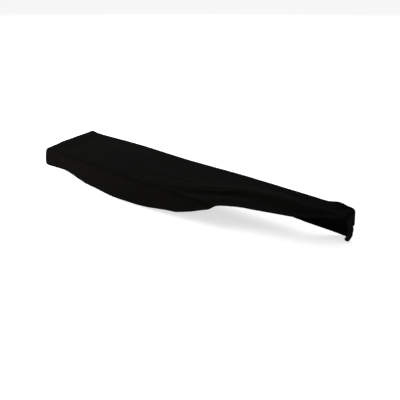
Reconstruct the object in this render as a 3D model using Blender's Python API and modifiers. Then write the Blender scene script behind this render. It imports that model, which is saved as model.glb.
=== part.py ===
"""Keyboard dust cover, one piece of black stretch cloth in the shape in which it hangs.

The cover fits a long low space: a flat top, a skirt on all four sides, and a hem
that is drawn in under the bottom. Towards the front right the hem has been drawn
up the front and back over the top, so the skirt lies there in a soft roll.

Units are metres. +X runs along the cover, +Y to its back and +Z up. The origin is
under the middle of the top, where what the cover is put on holds it up.
"""

import math

import bmesh
import bpy
from mathutils import Vector

NAME = "keyboard_dust_cover"
NODE = "dust_cover"

# The space that the cover fits
FIT_LENGTH = 1.260
FIT_DEPTH = 0.272
FIT_HEIGHT = 0.073

# The cloth and its hem
CLOTH = 0.0020
HEM = 0.0032
TUCK = 0.045
TUCK_SLACK = 0.003

# Bends where the cloth turns over an edge
PLAN_RADIUS = 0.016
TUCK_ROUNDING = 0.55
EDGE_RADIUS = 0.010
BOTTOM_BEND = 0.009

# The line on the top from which the columns of cloth run out to the hem, and how far
# from it the folds have faded in
SPINE_END = 0.560
SPINE_Y = 0.090
SPINE_RISE_Y = 0.020
SPINE_RISE_FROM_X = 0.100
SPINE_RISE_SPAN = 0.400
SPINE_FADE = 0.030

# Spacing of the columns along the front and back
STEPS = (
    # from x, step
    (-0.630, 0.045),
    (-0.010, 0.023),
    (0.170, 0.015),
    (0.300, 0.025),
)

HALF_LENGTH = FIT_LENGTH / 2
HALF_DEPTH = FIT_DEPTH / 2
STRAIGHT_X = HALF_LENGTH - PLAN_RADIUS
STRAIGHT_Y = HALF_DEPTH - PLAN_RADIUS
BEND_RUN = EDGE_RADIUS * math.pi / 2

# Where the hem lies, going round. reach is down the skirt from the top edge, or, below
# zero, back over the top. tuck is how far in under the bottom the hem is drawn.
FRONT_HEM = (
    # x, reach, tuck
    (-0.630, 0.073, TUCK),
    (-0.560, 0.074, 0.042),
    (-0.515, 0.079, 0.026),
    (-0.470, 0.085, 0.013),
    (-0.420, 0.090, 0.006),
    (-0.375, 0.094, 0.003),
    (-0.271, 0.098, 0.000),
    (-0.192, 0.099, -0.002),
    (-0.062, 0.094, -0.002),
    (0.053, 0.076, 0.000),
    (0.091, 0.070, 0.000),
    (0.156, 0.047, 0.000),
    (0.210, 0.023, 0.000),
    (0.236, 0.011, 0.000),
    (0.250, -0.002, 0.000),
    (0.262, -0.016, 0.000),
    (0.281, -0.027, 0.000),
    (0.331, -0.049, 0.000),
    (0.365, -0.058, 0.000),
    (0.431, -0.077, 0.000),
    (0.493, -0.095, 0.000),
    (0.527, -0.113, 0.000),
    (0.559, -0.138, 0.000),
    (0.605, -0.161, 0.000),
    (0.620, -0.168, 0.000),
)
RIGHT_HEM = (
    # y, reach, tuck
    (0.032, -0.010, 0.000),
    (0.043, 0.000, 0.000),
    (0.056, 0.020, 0.000),
    (0.070, 0.042, 0.000),
    (0.084, 0.074, 0.004),
    (0.094, 0.090, 0.012),
    (0.120, 0.108, 0.014),
)
BACK_HEM = (
    # x, reach, tuck
    (-0.630, 0.073, TUCK),
    (0.420, 0.073, TUCK),
    (0.520, 0.090, 0.030),
    (0.614, 0.115, 0.007),
)
RIGHT_BACK_REACH = 0.115
RIGHT_BACK_TUCK = 0.007

# From here on round the front right corner, the cloth is gathered up on the top
GATHER_X = 0.500
GATHER_END_X = 0.620
GATHER_END_Y = 0.032

# The drawn-back cloth lies in a long soft roll, with a low ridge between it and the hem.
# Both follow the hem, from_hem behind it. along is x at the front, and then goes on
# round the right end.
ROLL = (
    # along, from_hem, slope towards the hem, slope away from it, height
    (-0.080, 0.112, 0.060, 0.060, 0.0000),
    (0.100, 0.112, 0.052, 0.060, 0.0090),
    (0.240, 0.110, 0.046, 0.056, 0.0150),
    (0.340, 0.108, 0.046, 0.052, 0.0160),
    (0.450, 0.098, 0.046, 0.044, 0.0155),
    (0.540, 0.063, 0.042, 0.027, 0.0115),
    (0.565, 0.047, 0.036, 0.024, 0.0092),
    (0.585, 0.043, 0.034, 0.022, 0.0074),
    (0.630, 0.039, 0.032, 0.022, 0.0036),
    (0.690, 0.039, 0.032, 0.022, 0.0000),
)
RIDGE = (
    (0.060, 0.052, 0.032, 0.030, 0.0000),
    (0.180, 0.052, 0.034, 0.032, 0.0050),
    (0.300, 0.053, 0.036, 0.030, 0.0062),
    (0.400, 0.051, 0.038, 0.030, 0.0080),
    (0.540, 0.039, 0.031, 0.026, 0.0065),
    (0.660, 0.028, 0.022, 0.020, 0.0000),
)

# The drawn-back hem lies a little off the top. It does so between these places along it.
HEM_LIFT = 0.0020
HEM_LIFT_WITHIN = 0.060
LIFT_START = (0.14, 0.30)
LIFT_END = (0.66, 0.74)

# The loose skirt stands out at the middle of the front, and at two of its corners.
SWAG = (
    # from x, to x, out
    (-0.46, 0.14, 0.0060),
    (-0.34, -0.12, 0.0030),
)
SWAG_FULL_DROP = 0.090
LEFT_CORNER_OUT = (
    # drop below the top, out
    (0.000, 0.000),
    (0.012, 0.002),
    (0.040, 0.008),
    (0.073, 0.011),
)
RIGHT_CORNER_OUT = (
    (0.000, 0.000),
    (0.008, 0.002),
    (0.022, 0.0045),
    (0.046, 0.0085),
    (0.063, 0.005),
    (0.080, 0.011),
    (0.098, 0.012),
    (0.115, 0.008),
)
CORNER_WITHIN_X = 0.115
CORNER_WITHIN_Y = 0.100

# Small rises and dips of the top near its back corners: x, y, half width, height
PUFFS = (
    (0.582, 0.126, 0.038, 0.0075),
    (0.528, 0.130, 0.024, -0.0030),
    (-0.616, 0.124, 0.026, 0.0050),
    (0.260, 0.116, 0.320, 0.0026),
)

# How many rows of cloth a column has, and where they are close together. The band beside
# the hem has close rows only where the cloth is drawn back, which comes in over BAND_START.
ROWS = 16
ROW_PITCH = 0.050
EDGE_ROWS = 4.0
EDGE_ROWS_WITHIN = 0.016
DRAWN_EDGE_ROWS_WITHIN = 0.034
BOTTOM_ROWS = 4.0
HEM_BAND = 0.135
HEM_BAND_ROWS = 10.0
BAND_START = (0.06, 0.22)
SHORT_TAIL = 0.030
COUNT_STEPS = 96

COLOUR = (0.0065, 0.0062, 0.0058, 1.0)
ROUGHNESS = 0.86


def smooth(value):
    """A soft step from 0 to 1."""
    value = min(max(value, 0.0), 1.0)
    return value * value * (3.0 - 2.0 * value)


def ramp(value, span):
    """A soft step from 0 at the start of span to 1 at its end."""
    return smooth((value - span[0]) / (span[1] - span[0]))


def bell(distance, half_width):
    """A soft hump, 1 in the middle and 0 from half_width out."""
    share = min(abs(distance) / half_width, 1.0)
    return 0.5 * (1.0 + math.cos(math.pi * share))


def read_table(rows, place):
    """The other columns of a table at a place along it, on a smooth curve through its rows."""
    if place <= rows[0][0]:
        return rows[0][1:]
    if place >= rows[-1][0]:
        return rows[-1][1:]
    last = len(rows) - 1
    i = max(k for k in range(last) if rows[k][0] <= place)
    span = rows[i + 1][0] - rows[i][0]
    share = (place - rows[i][0]) / span
    found = []
    for column in range(1, len(rows[0])):
        slopes = []
        for k in (i, i + 1):
            before, after = max(k - 1, 0), min(k + 1, last)
            rise = rows[after][column] - rows[before][column]
            slopes.append(span * rise / (rows[after][0] - rows[before][0]))
        start, end = rows[i][column], rows[i + 1][column]
        cubic = (2 * share**3 - 3 * share**2 + 1) * start
        cubic += (share**3 - 2 * share**2 + share) * slopes[0]
        cubic += (3 * share**2 - 2 * share**3) * end
        cubic += (share**3 - share**2) * slopes[1]
        found.append(cubic)
    return tuple(found)


def plan_point(side, place, inset, tucked=0.0):
    """A point of the outline seen from above, drawn in by inset, and its outward direction.

    On a side, place runs from -1 to 1; on a corner it is the angle of the outward direction.
    tucked draws the point in further and makes the corners rounder.
    """
    radius = PLAN_RADIUS - inset + TUCK_ROUNDING * tucked
    inset += tucked
    straight_x = HALF_LENGTH - inset - radius
    straight_y = HALF_DEPTH - inset - radius
    if side == "front":
        return Vector((place * straight_x, inset - HALF_DEPTH)), Vector((0.0, -1.0))
    if side == "back":
        return Vector((place * straight_x, HALF_DEPTH - inset)), Vector((0.0, 1.0))
    if side == "right":
        return Vector((HALF_LENGTH - inset, place * straight_y)), Vector((1.0, 0.0))
    if side == "left":
        return Vector((inset - HALF_LENGTH, place * straight_y)), Vector((-1.0, 0.0))
    out = Vector((math.cos(place), math.sin(place)))
    centre = Vector((math.copysign(straight_x, out.x), math.copysign(straight_y, out.y)))
    return centre + radius * out, out


def stations():
    """The columns of cloth, as (side, place), once round from the front left."""
    along, x = [], -STRAIGHT_X
    while x < STRAIGHT_X - 0.5 * STEPS[-1][1]:
        along.append(x)
        x += max(row for row in STEPS if row[0] < x + 1e-6)[1]
    along.append(STRAIGHT_X)
    right_y = [-0.98, -0.55, -0.1, 0.12, 0.28, 0.36, 0.45, 0.53, 0.62, 0.70, 0.78, 0.88, 0.98]
    left_y = [-0.98, -0.6, -0.2, 0.2, 0.6, 0.98]
    corner_steps = (22.5, 45.0, 67.5)
    found = [("front", x / STRAIGHT_X) for x in along]
    found += [("corner", math.radians(a - 90.0)) for a in corner_steps]
    found += [("right", place) for place in right_y]
    found += [("corner", math.radians(a)) for a in corner_steps]
    found += [("back", x / STRAIGHT_X) for x in reversed(along)]
    found += [("corner", math.radians(90.0 + a)) for a in corner_steps]
    found += [("left", place) for place in reversed(left_y)]
    found += [("corner", math.radians(180.0 + a)) for a in corner_steps]
    return found


def spine_point(side, place):
    """Where the column starts on the top."""
    if side in ("front", "back"):
        x = place * SPINE_END
    else:
        x = math.copysign(SPINE_END, plan_point(side, place, 0.0)[0].x)
    rise = smooth((x - SPINE_RISE_FROM_X) / SPINE_RISE_SPAN)
    return Vector((x, SPINE_Y + SPINE_RISE_Y * rise))


def hem_place(side, place):
    """Distance along the hem: x at the front, then on round the right end to the back."""
    edge, _ = plan_point(side, place, 0.0)
    if side == "left" or (side == "corner" and edge.x < 0):
        return -HALF_LENGTH
    corner = PLAN_RADIUS * math.pi / 2
    if side == "back":
        return GATHER_END_X + STRAIGHT_Y - GATHER_END_Y + corner + STRAIGHT_X - edge.x
    if side == "corner" and edge.y > 0:
        return GATHER_END_X + STRAIGHT_Y - GATHER_END_Y + PLAN_RADIUS * place
    if side == "right" and edge.y > GATHER_END_Y:
        return GATHER_END_X + edge.y - GATHER_END_Y
    if side == "right":
        round_it = corner + edge.y + STRAIGHT_Y
    elif side == "corner":
        round_it = PLAN_RADIUS * (place + math.pi / 2)
    else:
        round_it = 0.0
        if edge.x < GATHER_X:
            return edge.x
    past = min(edge.x, STRAIGHT_X) - GATHER_X + round_it
    whole = STRAIGHT_X - GATHER_X + corner + GATHER_END_Y + STRAIGHT_Y
    return GATHER_X + (GATHER_END_X - GATHER_X) * past / whole


def hem_of(side, place):
    """(reach, tuck) of the hem at a column."""
    edge, _ = plan_point(side, place, 0.0)
    if side == "back":
        return read_table(BACK_HEM, edge.x)
    if side == "right" and edge.y > GATHER_END_Y:
        return read_table(RIGHT_HEM, edge.y)
    if side == "left" or (side == "corner" and edge.x < 0):
        return FIT_HEIGHT, TUCK
    if side == "corner" and edge.y > 0:
        return RIGHT_BACK_REACH, RIGHT_BACK_TUCK
    return read_table(FRONT_HEM, hem_place(side, place))


def hem_run(reach):
    """Length of cloth from where the top edge starts to bend, out to the hem."""
    if reach < -EDGE_RADIUS:
        return reach + EDGE_RADIUS
    if reach < EDGE_RADIUS:
        return BEND_RUN * (reach + EDGE_RADIUS) / (2 * EDGE_RADIUS)
    return BEND_RUN + reach - EDGE_RADIUS


def fold_lift(along, from_hem):
    """Height of the long folds there, square to the cloth."""
    lift = HEM_LIFT * ramp(along, LIFT_START) * (1.0 - ramp(along, LIFT_END))
    lift *= bell(from_hem, HEM_LIFT_WITHIN)
    for fold in (ROLL, RIDGE):
        crest, hem_slope, far_slope, height = read_table(fold, along)
        slope = hem_slope if from_hem < crest else far_slope
        lift += height * bell(from_hem - crest, slope)
    return lift


def puff_lift(spot):
    """Height of the small rises and dips of the top."""
    lift = 0.0
    for x, y, half_width, height in PUFFS:
        lift += height * bell(math.hypot(spot.x - x, spot.y - y), half_width)
    return lift


def stand_out(side, place, drop):
    """How far the loose skirt stands out at that drop below the top."""
    edge, _ = plan_point(side, place, 0.0)
    out = 0.0
    if side == "front":
        for start, end, most in SWAG:
            share = min(max((edge.x - start) / (end - start), 0.0), 1.0)
            out += most * math.sin(math.pi * share) ** 2 * smooth(drop / SWAG_FULL_DROP)
    near_left = bell(edge.x + HALF_LENGTH, CORNER_WITHIN_X)
    near_left *= bell(edge.y + HALF_DEPTH, CORNER_WITHIN_Y)
    near_right = bell(edge.x - HALF_LENGTH, CORNER_WITHIN_X)
    near_right *= bell(edge.y - HALF_DEPTH, CORNER_WITHIN_Y)
    out += near_left * read_table(LEFT_CORNER_OUT, drop)[0]
    return out + near_right * read_table(RIGHT_CORNER_OUT, drop)[0]


def row_lengths(flat, run, tail, drawn):
    """How far along a column its rows lie, closer where the cloth bends and near the hem."""
    whole = flat + run
    edge_middle = flat + BEND_RUN / 2
    edge_width = EDGE_ROWS_WITHIN + (DRAWN_EDGE_ROWS_WITHIN - EDGE_ROWS_WITHIN) * drawn
    totals = [0.0]
    for step in range(COUNT_STEPS):
        at = whole * (step + 0.5) / COUNT_STEPS
        density = 1.0 / ROW_PITCH
        density += EDGE_ROWS * bell(at - edge_middle, edge_width) / edge_width
        if at > whole - tail:
            density += BOTTOM_ROWS * smooth(tail / SHORT_TAIL) / tail
        if at > whole - HEM_BAND:
            density += drawn * HEM_BAND_ROWS / HEM_BAND
        totals.append(totals[-1] + density * whole / COUNT_STEPS)
    lengths, step = [], 0
    for row in range(1, ROWS):
        wanted = totals[-1] * row / ROWS
        while totals[step + 1] < wanted:
            step += 1
        share = (wanted - totals[step]) / (totals[step + 1] - totals[step])
        lengths.append(whole * (step + share) / COUNT_STEPS)
    return lengths + [whole]


def gathered_column(side, place):
    """Points down a column whose hem lies back on the top."""
    start = spine_point(side, place)
    along = hem_place(side, place)
    reach, _ = hem_of(side, place)
    hem = Vector((along, -HALF_DEPTH - reach))
    whole = (hem - start).length
    points = []
    for length in row_lengths(whole - hem_run(reach), hem_run(reach), 0.0, 1.0):
        spot = start.lerp(hem, length / whole)
        lift = fold_lift(along, whole - length) * smooth(length / SPINE_FADE)
        points.append(Vector((*spot, lift + puff_lift(spot))))
    return points


def fitted_column(side, place):
    """Points down a column that runs over the top edge and down the skirt."""
    start = spine_point(side, place)
    along = hem_place(side, place)
    reach, tuck = hem_of(side, place)
    bend_start, _ = plan_point(side, place, EDGE_RADIUS)
    flat = (bend_start - start).length
    tail_from = FIT_HEIGHT - BOTTOM_BEND
    tail = max(reach - tail_from, 0.0) + max(tuck, 0.0)
    run = hem_run(min(reach, tail_from)) + tail
    slack = TUCK_SLACK * smooth(tuck / TUCK)
    drawn = ramp(along, BAND_START) * (1.0 - ramp(along, LIFT_END))
    points = []
    for length in row_lengths(flat, run, tail, drawn):
        past = length - flat
        lift = fold_lift(along, run - past) * smooth(length / SPINE_FADE)
        if past <= 0.0:
            spot = start.lerp(bend_start, length / flat)
            points.append(Vector((*spot, lift + puff_lift(spot))))
            continue
        inset, tucked, up = 0.0, 0.0, 0.0
        if past <= BEND_RUN:
            up = math.cos(past / EDGE_RADIUS)
            inset = EDGE_RADIUS * (1.0 - math.sin(past / EDGE_RADIUS))
            drop = EDGE_RADIUS * (1.0 - up)
        elif not tail or past <= run - tail:
            drop = EDGE_RADIUS + past - BEND_RUN
        else:
            share = 1.0 - (run - past) / tail
            drop = (1 - share) ** 2 * tail_from
            drop += 2 * share * (1 - share) * (min(reach, FIT_HEIGHT) + slack)
            drop += share**2 * (reach + slack)
            tucked = tuck * share**2
        out = lift * math.sqrt(1.0 - up * up) + stand_out(side, place, drop)
        spot, _ = plan_point(side, place, inset - out, tucked)
        points.append(Vector((*spot, (lift + puff_lift(spot)) * up - drop)))
    return points


def column_points(side, place):
    if side in ("front", "corner", "right") and hem_of(side, place)[0] < -EDGE_RADIUS:
        return gathered_column(side, place)
    return fitted_column(side, place)


def loft_cloth(name):
    """The inside face of the cloth, lofted between its columns, which all differ."""
    shape = bmesh.new()
    hem_layer = shape.verts.layers.deform.verify()
    spine = {}
    grid = []
    for side, place in stations():
        start = spine_point(side, place)
        key = round(start.x, 6)
        if key not in spine:
            spine[key] = shape.verts.new((*start, puff_lift(start)))
        rows = [shape.verts.new(point) for point in column_points(side, place)]
        for vert in rows[-2:]:
            vert[hem_layer][0] = 1.0
        grid.append([spine[key], *rows])
    for i, column in enumerate(grid):
        neighbour = grid[(i + 1) % len(grid)]
        for row in range(len(column) - 1):
            corners = [column[row], column[row + 1], neighbour[row + 1], neighbour[row]]
            shape.faces.new(list(dict.fromkeys(corners)))
    mesh = bpy.data.meshes.new(name)
    shape.to_mesh(mesh)
    shape.free()
    return mesh


def cloth_material():
    material = bpy.data.materials.new("black_stretch_cloth")
    material.use_nodes = True
    shader = material.node_tree.nodes["Principled BSDF"]
    shader.inputs["Base Color"].default_value = COLOUR
    shader.inputs["Roughness"].default_value = ROUGHNESS
    shader.inputs["Metallic"].default_value = 0.0
    material.diffuse_color = COLOUR
    return material


def clear_scene():
    for thing in list(bpy.data.objects):
        bpy.data.objects.remove(thing, do_unlink=True)


def make_cover(parts):
    """The cover: the lofted inside face, thickened outwards, with a thicker hem."""
    cover = bpy.data.objects.new(NODE, loft_cloth(NODE))
    parts.objects.link(cover)
    cover.data.materials.append(cloth_material())
    group = cover.vertex_groups.new(name="hem")
    thicken = cover.modifiers.new("thickness", "SOLIDIFY")
    thicken.thickness = HEM
    thicken.offset = 1.0
    thicken.vertex_group = group.name
    thicken.thickness_vertex_group = CLOTH / HEM
    cover.data.shade_smooth()
    return cover


def main():
    clear_scene()
    parts = bpy.data.collections.new(NAME)
    bpy.context.scene.collection.children.link(parts)
    make_cover(parts)


main()
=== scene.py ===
"""A fitted dust cover of black stretch cloth, shown in the shape in which it hangs.

The cover is one sheet of knitted cloth with a stitched elastic hem. Its surface is
lofted from the hem's place all the way round, and the folds, creases and gathers of
the loose cloth are then laid on it.
"""

import math

import bmesh
import bpy
from bpy.props import FloatProperty, FloatVectorProperty, IntProperty, PointerProperty
from mathutils import Matrix, Vector, noise


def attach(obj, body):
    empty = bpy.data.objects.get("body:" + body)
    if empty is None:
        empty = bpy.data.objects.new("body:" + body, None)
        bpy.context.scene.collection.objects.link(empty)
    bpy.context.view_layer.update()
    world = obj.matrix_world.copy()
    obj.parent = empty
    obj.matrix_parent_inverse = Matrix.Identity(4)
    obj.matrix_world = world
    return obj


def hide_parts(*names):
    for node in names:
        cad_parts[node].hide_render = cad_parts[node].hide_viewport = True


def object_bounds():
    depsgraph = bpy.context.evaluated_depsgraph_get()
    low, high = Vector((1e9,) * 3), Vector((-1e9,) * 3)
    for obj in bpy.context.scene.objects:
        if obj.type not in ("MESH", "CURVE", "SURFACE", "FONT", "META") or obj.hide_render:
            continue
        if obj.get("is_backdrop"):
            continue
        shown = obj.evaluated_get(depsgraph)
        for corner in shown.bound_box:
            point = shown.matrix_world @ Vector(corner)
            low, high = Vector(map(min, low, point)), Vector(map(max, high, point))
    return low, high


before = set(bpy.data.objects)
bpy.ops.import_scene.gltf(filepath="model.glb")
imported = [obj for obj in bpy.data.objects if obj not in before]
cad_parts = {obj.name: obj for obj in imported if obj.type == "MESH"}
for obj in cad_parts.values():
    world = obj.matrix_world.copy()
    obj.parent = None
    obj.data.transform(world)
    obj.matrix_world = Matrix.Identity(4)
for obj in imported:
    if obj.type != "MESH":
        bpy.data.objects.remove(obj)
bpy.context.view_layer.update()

bl_info = {
    "name": "Fitted Dust Cover",
    "version": (1, 0, 0),
    "blender": (4, 5, 0),
    "location": "3D View > Sidebar > Dust Cover",
    "description": "Builds a fitted dust cover of black stretch cloth and a plain stage for it",
    "category": "Object",
}

# The space that the cover fits, as in the solid model
FIT_LENGTH = 1.260
FIT_DEPTH = 0.272
FIT_HEIGHT = 0.073
TUCK = 0.045
TUCK_SLACK = 0.003
PLAN_RADIUS = 0.016
TUCK_ROUNDING = 0.55
EDGE_RADIUS = 0.010
BOTTOM_BEND = 0.009

SPINE_END = 0.560
SPINE_Y = 0.090
SPINE_RISE_Y = 0.020
SPINE_RISE_FROM_X = 0.100
SPINE_RISE_SPAN = 0.400
SPINE_FADE = 0.030

# Spacing of the columns as shares of the usual one: where the hem falls, and in corners
FALL_SPACING = 0.5
CORNER_SPACING = 0.42

HALF_LENGTH = FIT_LENGTH / 2
HALF_DEPTH = FIT_DEPTH / 2
STRAIGHT_X = HALF_LENGTH - PLAN_RADIUS
STRAIGHT_Y = HALF_DEPTH - PLAN_RADIUS
BEND_RUN = EDGE_RADIUS * math.pi / 2

# Where the hem lies, going round. reach is down the skirt from the top edge, or, below
# zero, back over the top. tuck is how far in under the bottom the hem is drawn.
FRONT_HEM = (
    # x, reach, tuck
    (-0.630, 0.073, TUCK),
    (-0.560, 0.077, 0.042),
    (-0.515, 0.084, 0.026),
    (-0.470, 0.091, 0.013),
    (-0.420, 0.096, 0.006),
    (-0.375, 0.099, 0.003),
    (-0.271, 0.100, 0.000),
    (-0.192, 0.100, -0.002),
    (-0.062, 0.094, -0.002),
    (0.053, 0.076, 0.000),
    (0.091, 0.070, 0.000),
    (0.156, 0.047, 0.000),
    (0.210, 0.023, 0.000),
    (0.236, 0.011, 0.000),
    (0.250, -0.002, 0.000),
    (0.262, -0.016, 0.000),
    (0.281, -0.027, 0.000),
    (0.331, -0.049, 0.000),
    (0.365, -0.058, 0.000),
    (0.431, -0.077, 0.000),
    (0.493, -0.095, 0.000),
    (0.527, -0.113, 0.000),
    (0.559, -0.138, 0.000),
    (0.605, -0.161, 0.000),
    (0.620, -0.168, 0.000),
)
RIGHT_HEM = (
    # y, reach, tuck
    (0.032, -0.010, 0.000),
    (0.043, 0.000, 0.000),
    (0.056, 0.020, 0.000),
    (0.070, 0.042, 0.000),
    (0.084, 0.074, 0.004),
    (0.094, 0.090, 0.012),
    (0.120, 0.108, 0.014),
)
BACK_HEM = (
    # x, reach, tuck
    (-0.630, 0.073, TUCK),
    (0.420, 0.073, TUCK),
    (0.520, 0.090, 0.030),
    (0.614, 0.115, 0.007),
)
RIGHT_BACK_REACH = 0.115
RIGHT_BACK_TUCK = 0.007

# From here on round the front right corner, the cloth is gathered up on the top
GATHER_X = 0.500
GATHER_END_X = 0.620
GATHER_END_Y = 0.032

# The drawn-back cloth lies in a long soft roll, with a low ridge between it and the hem.
# Both follow the hem, from_hem behind it. along is x at the front, and then goes on
# round the right end.
ROLL = (
    # along, from_hem, slope towards the hem, slope away from it, height
    (-0.080, 0.120, 0.060, 0.090, 0.0000),
    (0.100, 0.124, 0.052, 0.100, 0.0050),
    (0.190, 0.124, 0.046, 0.104, 0.0070),
    (0.270, 0.112, 0.042, 0.096, 0.0084),
    (0.340, 0.100, 0.050, 0.084, 0.0112),
    (0.400, 0.094, 0.066, 0.074, 0.0140),
    (0.460, 0.084, 0.074, 0.062, 0.0144),
    (0.540, 0.060, 0.054, 0.032, 0.0100),
    (0.565, 0.049, 0.044, 0.025, 0.0082),
    (0.585, 0.044, 0.039, 0.022, 0.0068),
    (0.630, 0.039, 0.034, 0.022, 0.0034),
    (0.690, 0.039, 0.032, 0.022, 0.0000),
)
RIDGE = (
    # along, from_hem, slope towards the hem, slope away from it, height
    (0.060, 0.052, 0.032, 0.030, 0.0000),
    (0.180, 0.052, 0.034, 0.032, 0.0030),
    (0.300, 0.050, 0.036, 0.030, 0.0032),
    (0.380, 0.046, 0.036, 0.028, 0.0016),
    (0.540, 0.036, 0.030, 0.024, 0.0008),
    (0.660, 0.028, 0.022, 0.020, 0.0000),
)

# The hem of the drawn-back cloth is lifted a little. Each pair is the stretch of the hem, by
# its place along, over which the lift sets in or ends.
HEM_LIFT = 0.0020
HEM_LIFT_WITHIN = 0.060
LIFT_START = (0.14, 0.30)
LIFT_END = (0.66, 0.74)

# The loose skirt stands out at the middle of the front, and at two of its corners.
SWAG = (
    # from x, to x, out
    (-0.46, 0.14, 0.0060),
    (-0.34, -0.12, 0.0030),
)
SWAG_FULL_DROP = 0.090
LEFT_CORNER_OUT = (
    # drop below the top, out
    (0.000, 0.000),
    (0.012, 0.002),
    (0.040, 0.008),
    (0.073, 0.011),
)
RIGHT_CORNER_OUT = (
    # drop below the top, out
    (0.000, 0.000),
    (0.008, 0.002),
    (0.022, 0.0045),
    (0.046, 0.008),
    (0.055, 0.0085),
    (0.063, 0.0045),
    (0.071, 0.0085),
    (0.082, 0.011),
    (0.098, 0.012),
    (0.115, 0.008),
)
CORNER_WITHIN_X = 0.115
CORNER_WITHIN_Y = 0.100

# Small rises of the top, and one dip beside the right end
PUFFS = (
    # x, y, half width, height
    (0.578, 0.126, 0.045, 0.0085),
    (0.516, 0.130, 0.024, -0.0010),
    (-0.616, 0.124, 0.026, 0.0040),
    (-0.612, -0.025, 0.100, 0.0060),
    (-0.612, 0.075, 0.090, 0.0055),
    (0.260, 0.116, 0.320, 0.0036),
    (-0.330, 0.116, 0.300, 0.0036),
)

# Long creases that follow the hem of the drawn-back cloth, each wandering a little
HEM_CREASES = (
    # from, to along, from_hem at the start, at the end, half width, height
    (-0.060, 0.300, 0.150, 0.128, 0.0140, 0.0018),
    (0.100, 0.420, 0.112, 0.104, 0.0060, 0.0012),
    (0.060, 0.440, 0.106, 0.072, 0.0060, -0.0012),
    (0.120, 0.460, 0.069, 0.060, 0.0060, 0.0011),
    (0.220, 0.560, 0.084, 0.060, 0.0060, 0.0012),
    (0.280, 0.600, 0.060, 0.040, 0.0055, -0.0012),
    (0.160, 0.520, 0.034, 0.026, 0.0060, 0.0010),
    (0.380, 0.650, 0.052, 0.034, 0.0055, 0.0012),
    (0.440, 0.600, 0.100, 0.052, 0.0070, 0.0014),
    (0.500, 0.670, 0.026, 0.020, 0.0050, 0.0012),
)
CREASE_WANDER = 0.004
CREASE_WANDER_PACE = 9.0
CREASE_WANDER_APART = 90.0
CREASE_FADE = 0.7

# Creases drawn on the cloth as it lies flat: x and y where they start and end. The skirt
# goes on from the top there, so the front skirt has y below the front edge.
DRAG_CREASES = (
    # x, y, to x, to y, half width, height
    (-0.340, -0.030, -0.150, -0.110, 0.015, 0.0013),
    (-0.210, -0.036, 0.190, -0.014, 0.018, 0.0024),
    (-0.300, 0.006, -0.110, 0.034, 0.013, -0.0012),
    (-0.170, 0.066, 0.240, 0.040, 0.017, 0.0016),
    (-0.180, -0.116, -0.020, -0.046, 0.012, -0.0014),
    (-0.090, -0.088, 0.150, -0.076, 0.013, 0.0016),
    (-0.050, -0.128, 0.120, -0.100, 0.010, -0.0013),
    (-0.520, -0.205, -0.250, -0.150, 0.016, 0.0022),
    (-0.490, -0.218, -0.180, -0.196, 0.014, 0.0018),
    (-0.400, -0.222, -0.050, -0.214, 0.012, 0.0012),
    (-0.150, -0.226, 0.110, -0.176, 0.014, 0.0020),
    (-0.060, -0.208, 0.190, -0.140, 0.013, 0.0022),
    (0.020, -0.178, 0.230, -0.128, 0.010, 0.0018),
    (0.090, -0.120, 0.236, -0.132, 0.011, 0.0016),
    (-0.600, -0.150, -0.560, -0.196, 0.010, 0.0014),
    (-0.590, -0.120, -0.470, -0.070, 0.018, 0.0009),
    (-0.560, 0.085, -0.330, 0.112, 0.016, 0.0008),
    (0.150, 0.072, 0.420, 0.108, 0.014, 0.0012),
    (0.300, 0.096, 0.560, 0.122, 0.010, 0.0012),
    (0.470, 0.118, 0.600, 0.126, 0.007, 0.0014),
    (0.570, 0.100, 0.648, 0.090, 0.009, 0.0020),
    (0.580, 0.120, 0.660, 0.138, 0.008, 0.0018),
    (0.600, 0.076, 0.664, 0.070, 0.008, 0.0016),
)
DRAG_MARGIN = 0.03
DRAG_BOW = 0.10
DRAG_FADE = 1.2
DRAG_START_WIDTH = 0.55
DRAG_WIDENING = 0.9

# Gathers that the elastic draws in the cloth beside the hem
GATHERS = (
    # from, to along, spacing, height, how far from the hem they reach
    (-0.700, -0.480, 0.019, 0.0016, 0.030),
    (-0.480, 0.120, 0.034, 0.0010, 0.034),
    (0.120, 0.480, 0.026, 0.0008, 0.022),
    (0.480, 0.880, 0.032, 0.0022, 0.040),
    (0.880, 2.700, 0.021, 0.0017, 0.030),
)
GATHERS_FADE = 0.05
GATHER_TIGHTNESS = 1.25
GATHER_SLANT = 0.35
GATHER_SLANT_PACE = 12.0
GATHER_SLANT_PLACE = (0.3, 8.8)
GATHER_DEPTH_PACE = 6.0
GATHER_DEPTH_PLACE = 3.1
GATHER_UNEVEN = 0.7
GATHER_UNEVEN_PACE = 33.0
GATHER_UNEVEN_PLACE = (7.1, 0.4)

# The slight unevenness of loose cloth
SLACK = (
    # pace along x, pace along y, place in the noise, height
    (6.0, 17.0, 1.7, 0.0012),
    (21.0, 48.0, 5.2, 0.0003),
)

# How much closer the rows of mesh lie at the top edge, in the drawn-back cloth, where the
# cloth turns under, and at the hem. DRAWN_START is the stretch of the hem over which the
# drawn-back cloth sets in.
ROW_SAMPLES = 160
DRAWN_START = (0.06, 0.22)
EDGE_CLOSER = 1.8
EDGE_WITHIN = 0.020
EDGE_WITHIN_DRAWN = 0.016
DRAWN_CLOSER = 1.4
DRAWN_WITHIN = 0.150
DRAWN_EASE = 0.030
TURN_CLOSER = 1.2
TURN_EASE = 0.010
TURN_FULL_TAIL = 0.030
HEM_CLOSER = 1.6
HEM_WITHIN = 0.012
HEM_EASE = 0.008

# The hem: its width, how softly it thins into the cloth, and the thinner rounded rim
HEM_WIDTH = 0.0205
HEM_THINNING = 0.002
RIM_THICKNESS = 0.35
RIM_WIDTH = 0.0025

# Faces that meet within this angle are shaded as one, and places match to a micrometre
SMOOTH_UP_TO = math.radians(60.0)
MICROMETRE_DIGITS = 6

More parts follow.
